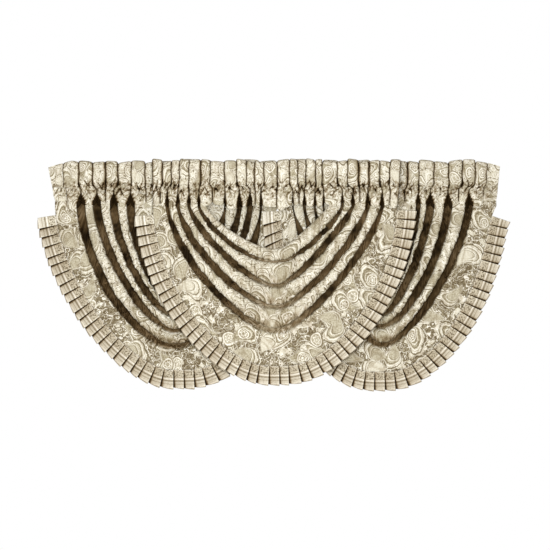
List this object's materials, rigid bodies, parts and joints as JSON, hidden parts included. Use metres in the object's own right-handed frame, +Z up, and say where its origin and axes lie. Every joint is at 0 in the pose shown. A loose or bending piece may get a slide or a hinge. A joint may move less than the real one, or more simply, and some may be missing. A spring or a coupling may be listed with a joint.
{
  "type": "swag valance set",
  "caption": "Set of overlapping rod-pocket swag valances: gathered headers, panels in crescent folds under a rolled V edge, and knife-pleated trim round each curved edge.",
  "frame": {"origin": "middle of the set's top edge, on the front rod line", "axes": "+X along the rods, +Y away from the room, +Z up"},
  "size_m": [1.8101, 0.1409, 0.8824],
  "materials": {
    "jacquard": "cream and taupe paisley jacquard, low sheen",
    "trim_stripe": "dotted ground with a woven stripe, matt"
  },
  "bodies": {
    "root": {"left_header": "jacquard", "left_swag": "jacquard", "left_trim": "trim_stripe", "right_header": "jacquard", "right_swag": "jacquard", "right_trim": "trim_stripe", "centre_header": "jacquard", "centre_swag": "jacquard", "centre_trim": "trim_stripe"}
  },
  "joints": []
}
